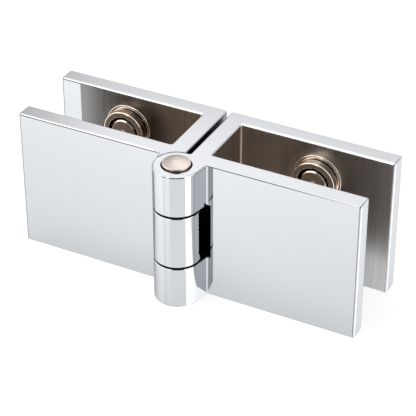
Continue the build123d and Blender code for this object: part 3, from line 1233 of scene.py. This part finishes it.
@dataclass
class GlassClamp:
    """One clamp: a threaded insert in the back plate, a set screw and its swivel pad."""

    # Radii and heights of the grooves round the button and under the pad, which are painted dark as shade
    GROOVES = ((4.05 * MM, 5.04 * MM, 2.6 * MM, 3.8 * MM), (4.0 * MM, 6.55 * MM, 0.72 * MM, 1.3 * MM))

    side: Side
    level: Level
    slot_back: float
    screw_radius: float = 4.0 * MM
    bore_clearance: float = 0.05 * MM
    flange_thickness: float = 0.7 * MM
    flange_rounding: float = 0.3 * MM
    barrel_radius: float = 5.65 * MM
    pad_gap: float = 0.15 * MM
    pad_edge: float = 0.4 * MM
    pad_recess: float = 5.0 * MM
    pad_recess_edge: float = 0.2 * MM
    pad_recess_depth: float = 1.1 * MM
    pad_waist: float = 0.35 * MM
    pad_waist_length: float = 0.5 * MM
    spigot_radius: float = 3.0 * MM
    button_radius: float = 4.1 * MM
    button_height: float = 0.65 * MM
    button_crown: float = 0.4 * MM
    dimple_radius: float = 0.8 * MM
    dimple_depth: float = 0.45 * MM
    socket: float = 2.0 * MM
    socket_depth: float = 3.5 * MM
    screw_chamfer: float = 0.5 * MM
    thread_depth: float = 0.3 * MM
    fine_edge: float = 0.12 * MM

    @property
    def label(self) -> str:
        """The clamp's name in the frame's nodes and bodies."""
        return f"{self.side.value}_{self.level.value}"

    def axis(self) -> Vector:
        """Where the clamp's axis meets the back plate's inner face."""
        low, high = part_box(f"{self.label}_pad")
        return Vector(((low.x + high.x) / 2, self.slot_back, (low.z + high.z) / 2))

    def turned(self, kind: str, outline: list[Corner], thread_depth: float = 0.0) -> TurnedPiece:
        """A piece on the clamp's axis.

        Args:
            kind: the piece's name in the clamp.
            outline: its half section.
            thread_depth: the depth of its thread.

        Returns:
            The turned piece.
        """
        name = f"{self.label}_{kind}_turned"
        return TurnedPiece(name, outline, self.axis(), Lay.TO_FRONT_PLATE, thread_depth=thread_depth)

    def insert(self) -> TurnedPiece:
        """The flanged insert.

        Returns:
            The turned piece.
        """
        low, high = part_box(f"{self.label}_insert")
        flange = (high.x - low.x) / 2
        rear = self.slot_back - high.y
        bore = self.screw_radius + self.bore_clearance
        top = self.flange_thickness
        outline = [
            Corner(bore, rear),
            Corner(self.barrel_radius, rear, self.fine_edge),
            Corner(self.barrel_radius, 0.0),
            Corner(flange, 0.0, self.fine_edge),
            Corner(flange, top, self.flange_rounding),
            Corner(bore, top, self.fine_edge),
            Corner(bore, rear),
        ]
        return self.turned("insert", outline)

    def pad(self) -> TurnedPiece:
        """The swivel pad, with a waist turned into its rim.

        Returns:
            The turned piece.
        """
        low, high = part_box(f"{self.label}_pad")
        radius = (high.x - low.x) / 2
        back = self.flange_thickness + self.pad_gap
        front = back + (high.y - low.y)
        floor = front - self.pad_recess_depth
        bore = self.spigot_radius + self.bore_clearance
        waist = radius - self.pad_waist
        outline = [
            Corner(bore, back),
            Corner(waist, back, self.fine_edge),
            Corner(waist, back + self.pad_waist_length, self.fine_edge),
            Corner(radius, back + self.pad_waist_length + self.pad_waist, self.fine_edge),
            Corner(radius, front, self.pad_edge),
            Corner(self.pad_recess, front, self.pad_recess_edge),
            Corner(self.pad_recess, floor, self.fine_edge),
            Corner(bore, floor),
            Corner(bore, back),
        ]
        return self.turned("pad", outline)

    def screw(self) -> TurnedPiece:
        """The set screw, with its socket at the back, its spigot and its peened button.

        Returns:
            The turned piece.
        """
        low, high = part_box(f"{self.label}_screw")
        rear = self.slot_back - high.y
        front = self.slot_back - low.y
        rim = front - self.button_crown
        neck = rim - self.button_height
        shoulder = self.flange_thickness + self.pad_gap - self.bore_clearance
        outline = [
            Corner(0.0, rear + self.socket_depth),
            Corner(self.socket, rear + self.socket_depth, flats=True),
            Corner(self.socket, rear, flats=True),
            Corner(self.screw_radius - self.screw_chamfer, rear),
            Corner(self.screw_radius, rear + self.screw_chamfer),
            Corner(self.screw_radius, shoulder, threaded=True),
            Corner(self.spigot_radius, shoulder),
            Corner(self.spigot_radius, neck),
            Corner(self.button_radius, neck, self.fine_edge),
            Corner(self.button_radius, rim, self.fine_edge),
            Corner(self.button_radius - self.button_crown, front, self.fine_edge),
            Corner(self.dimple_radius, front, self.fine_edge),
            Corner(0.0, front - self.dimple_depth),
        ]
        return self.turned("screw", outline, self.thread_depth)

    def build(self, tree: TurningTree, material: bpy.types.Material) -> None:
        """Makes the clamp's insert, pad and screw.

        Args:
            tree: the Geometry Nodes that turn them.
            material: their finish.
        """
        bodies = {
            "insert": (self.insert(), f"{self.side.value}_side"),
            "pad": (self.pad(), f"{self.label}_pad_body"),
            "screw": (self.screw(), f"{self.label}_screw_body"),
        }
        for kind, (turned, body) in bodies.items():
            settle(turned.build(tree, material), body, "bright_nickel", f"{self.label}_{kind}")


@dataclass
class GlassLiners:
    """The soft liners on the front plates, which stay the frame's own nodes."""

    finish: SoftFinish

    def build(self) -> None:
        """Dresses the liners."""
        material = self.finish.material()
        for side in Side:
            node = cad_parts[f"{side.value}_liner"]
            node.data.materials.clear()
            node.data.materials.append(material)
            log.info("%s: dressed", node.name)


class Ramp(NamedTuple):
    """A number that changes evenly from one angle to another, in degrees."""

    start: float
    end: float
    first: float
    last: float


class Band(NamedTuple):
    """A stretch of the studio's walls as the metal sees it."""

    start: float  # degrees from straight ahead of the hinge, positive to the right
    colour: Triple
    blur: float = 1.4  # width of the change at its start, in degrees


@dataclass
class Studio:
    """Floor, world, lamps and camera."""

    lens: float = 145.74
    sensor: float = 36.0
    azimuth: float = 27.242
    elevation: float = 33.549
    aim: Triple = (2.50 * MM, 1.22 * MM, 22.5 * MM)
    distance: float = 497.0 * MM
    clip: Pair = (9.94 * MM, 30.0)  # nearest and farthest that the camera sees
    white: Triple = (1.0, 1.0, 1.0)
    fill: float = 0.62
    floor_size: float = 3.0
    floor_albedo: float = 0.30
    floor_glow: float = 0.82
    floor_bounce: float = 0.8
    contact: float = 20.0 * MM
    contact_shade: float = 0.75
    contact_rays: int = 8
    key_power: float = 2.2
    key_size: float = 0.7
    key_place: Triple = (-0.25, -0.35, 0.75)
    walls: tuple[Band, ...] = (
        Band(-180.0, (0.768, 0.804, 0.838)),
        Band(-160.0, (0.369, 0.397, 0.438)),
        Band(-138.0, (1.35, 1.32, 1.315)),
        Band(-40.0, (1.11, 1.092, 1.09), blur=8.0),
        Band(-31.0, (1.239, 1.218, 1.217), blur=8.0),
        Band(-6.3, (1.044, 1.032, 1.048)),
        Band(69.0, (1.945, 1.886, 1.85)),
        Band(101.0, (1.74, 1.72, 1.71)),
        Band(166.0, (0.768, 0.804, 0.838)),
    )
    band_edge: float = 2.0
    low_light: Ramp = Ramp(-38.5, -28.5, 0.80, 1.20)
    low_light_reach: float = -6.3
    sky_colour: Triple = (1.024, 0.993, 0.986)
    back_sky: Ramp = Ramp(29.3, 30.9, 0.93, 1.48)
    back_sky_slant: Ramp = Ramp(-160.0, -150.0, -1.2, 0.0)
    back_sky_side: Ramp = Ramp(-160.0, -154.0, 0.88, 1.0)
    back_sky_left: Ramp = Ramp(-148.6, -145.0, 1.0, 0.55)
    front_sky: float = 1.6
    front_reach: float = 112.0
    sky_foot: float = 14.0
    horizon: Pair = (-27.5, 14.0)
    horizon_blur: float = 2.0
    horizon_colour: Triple = (0.12, 0.13, 0.15)
    horizon_depth: float = 0.25
    dark_walls: tuple[Triple, ...] = ((-37.0, -19.5, 20.0), (-6.0, 64.0, 48.0))  # start, end and extra height
    dark_depth: float = 0.95

    def camera(self) -> None:
        """Puts the camera at the photograph's place."""
        data = bpy.data.cameras.new("camera")
        data.lens = self.lens
        data.sensor_width = self.sensor
        data.clip_start, data.clip_end = self.clip
        camera = new_object("camera", data)
        turn, tilt = math.radians(self.azimuth), math.radians(self.elevation)
        back = Vector((math.sin(turn) * math.cos(tilt), -math.cos(turn) * math.cos(tilt), math.sin(tilt)))
        camera.location = Vector(self.aim) + back * self.distance
        camera.rotation_euler = (-back).to_track_quat("-Z", "Y").to_euler()
        bpy.context.scene.camera = camera

    def wall_colour(self, graph: NodeGraph, turn: Any) -> Socket:
        """The walls' bands round the hinge.

        Args:
            graph: the world's nodes.
            turn: the direction round the hinge, in degrees.

        Returns:
            The bands' colour.
        """
        behind = self.walls[0].colour
        stops = [(-HALF_TURN, behind)]
        for before, band in zip(self.walls, self.walls[1:]):
            stops.append((band.start - band.blur / 2, before.colour))
            stops.append((band.start + band.blur / 2, band.colour))
        return graph.colour_ramp(turn, [*stops, (HALF_TURN, behind)])

    def horizon_mask(self, graph: NodeGraph, turn: Any, rise: Any) -> Socket:
        """How dark the horizon is, which stands higher and darker at the dark walls.

        Args:
            graph: the world's nodes.
            turn: the direction round the hinge, in degrees.
            rise: the height of the direction, in degrees.

        Returns:
            The mask.
        """
        height: Any = 0.0
        depth: Any = 0.0
        for start, end, extra in self.dark_walls:
            wall = graph.between(turn, start, end, self.band_edge)
            height = graph.math("MULTIPLY_ADD", wall, extra, height)
            depth = graph.math("ADD", wall, depth)
        foot = graph.step(rise, self.horizon[0], self.horizon_blur)
        head = graph.step(graph.math("SUBTRACT", rise, height), self.horizon[1], self.horizon_blur)
        horizon = graph.math("SUBTRACT", foot, head, clamp=True)
        return graph.product(horizon, graph.mix(depth, self.horizon_depth, self.dark_depth))

    def room(self, graph: NodeGraph) -> Socket:
        """The walls, the sky and the dark horizon that the metal mirrors.

        Args:
            graph: the world's nodes.

        Returns:
            Their colour in a direction.
        """
        axes = graph.axes(graph.add("ShaderNodeTexCoord").outputs["Generated"])
        ahead = graph.product(axes["Y"], -1.0)
        turn = graph.math("DEGREES", graph.math("ARCTAN2", axes["X"], ahead))
        rise = graph.math("DEGREES", graph.math("ARCSINE", axes["Z"]))

        ahead_right = graph.step(turn, self.low_light_reach, self.band_edge)
        light = graph.mix(ahead_right, graph.ramp(rise, *self.low_light), 1.0)
        walls = graph.scaled(self.wall_colour(graph, turn), light)
        front = graph.between(turn, -self.front_reach, self.front_reach, self.band_edge)
        slanted = graph.math("ADD", rise, graph.ramp(turn, *self.back_sky_slant))
        sides = (graph.ramp(turn, *side) for side in (self.back_sky_side, self.back_sky_left))
        back = graph.product(graph.ramp(slanted, *self.back_sky), *sides)
        sky = graph.scaled(self.sky_colour, graph.mix(front, back, self.front_sky))
        room = graph.mix_colour(graph.step(rise, self.sky_foot, self.horizon_blur), walls, sky)
        return graph.mix_colour(self.horizon_mask(graph, turn, rise), room, rgba(self.horizon_colour))

    def world(self) -> None:
        """White for the camera, a soft room for the metal and plain fill light for the rest."""
        world = bpy.data.worlds.new("studio")
        bpy.context.scene.world = world
        graph = empty_graph(world)
        room = self.room(graph)
        plain, seen, mirrored = (
            graph.add("ShaderNodeBackground", {"Color": colour, "Strength": strength})
            for colour, strength in ((rgba(self.white), self.fill), (rgba(self.white), 1.0), (room, 1.0))
        )
        path = graph.add("ShaderNodeLightPath").outputs
        clear = graph.math("MAXIMUM", path["Is Camera Ray"], path["Is Transmission Ray"])
        first = graph.mix_shader(path["Is Glossy Ray"], plain, mirrored)
        last = graph.mix_shader(clear, first, seen)
        graph.add("ShaderNodeOutputWorld", {"Surface": last.outputs[0]})

    def floor(self) -> None:
        """A pale floor that keeps the hinge's shadow, also where the metal looks down on it."""
        half = self.floor_size / 2
        mesh = bpy.data.meshes.new("floor")
        corners = [(-half, -half, 0.0), (half, -half, 0.0), (half, half, 0.0), (-half, half, 0.0)]
        mesh.from_pydata(corners, [], [(0, 1, 2, 3)])
        floor = new_object("floor", mesh)
        material = bpy.data.materials.new("floor")
        graph = empty_graph(material)
        lit = graph.add("ShaderNodeBsdfDiffuse", {"Color": rgba((self.floor_albedo,) * 3)})
        glow = graph.add("ShaderNodeEmission", {"Color": rgba(self.white), "Strength": self.floor_glow})
        pale = graph.add("ShaderNodeAddShader", {0: lit.outputs[0], 1: glow.outputs[0]})
        bounce = graph.add("ShaderNodeBsdfDiffuse", {"Color": rgba((self.floor_bounce,) * 3)})
        near = graph.add("ShaderNodeAmbientOcclusion", {"Distance": self.contact}, samples=self.contact_rays)
        shade = graph.mix(near.outputs["AO"], self.contact_shade, 1.0)
        through = graph.add("ShaderNodeBsdfTransparent", {"Color": shade})
        path = graph.add("ShaderNodeLightPath").outputs
        clear = graph.math("MAXIMUM", path["Is Camera Ray"], path["Is Transmission Ray"])
        first = graph.mix_shader(clear, bounce, pale)
        last = graph.mix_shader(path["Is Glossy Ray"], first, through)
        graph.add("ShaderNodeOutputMaterial", {"Surface": last.outputs[0]})
        mesh.materials.append(material)

    def lamps(self) -> None:
        """One large soft lamp above, which the metal doesn't mirror."""
        data = bpy.data.lights.new("key", "AREA")
        data.shape = "SQUARE"
        data.size = self.key_size
        data.energy = self.key_power
        key = new_object("key", data)
        key.location = self.key_place
        key.rotation_euler = (-key.location).to_track_quat("-Z", "Y").to_euler()
        key.visible_glossy = False

    def build(self) -> None:
        """Sets up the studio."""
        self.camera()
        self.world()
        self.floor()
        self.lamps()
        bpy.context.scene.view_settings.view_transform = "Standard"


def main() -> None:
    """Builds the hinge's pieces in order and reports them."""
    logging.basicConfig(level=logging.INFO, format="%(message)s")
    Studio().build()
    leaf = LeafPlates()
    leaf.build(ChromeFinish())
    tree = TurningTree()
    satin = TurnedNickelFinish(
        "satin_nickel",
        colour=(0.76, 0.695, 0.645),
        roughness=0.26,
        anisotropy=0.8,
        lay=Lay.UP,
    )
    bright = TurnedNickelFinish(
        "bright_nickel",
        colour=(0.90, 0.80, 0.69),
        roughness=0.09,
        anisotropy=0.3,
        lay=Lay.TO_FRONT_PLATE,
        groove_shade=GlassClamp.GROOVES,
    )
    nylon = SoftFinish("black_nylon", colour=(0.022, 0.022, 0.024), roughness=0.5, grain_scale=1800.0)
    rubber = SoftFinish("taupe_liner", colour=(0.36, 0.305, 0.26), roughness=0.6, grain_scale=1500.0)
    BarrelHardware().build(tree, satin, nylon)
    metal = bright.material()
    for side in Side:
        for level in Level:
            GlassClamp(side, level, leaf.slot_back).build(tree, metal)
    GlassLiners(rubber).build()


if __name__ == "__main__":
    main()
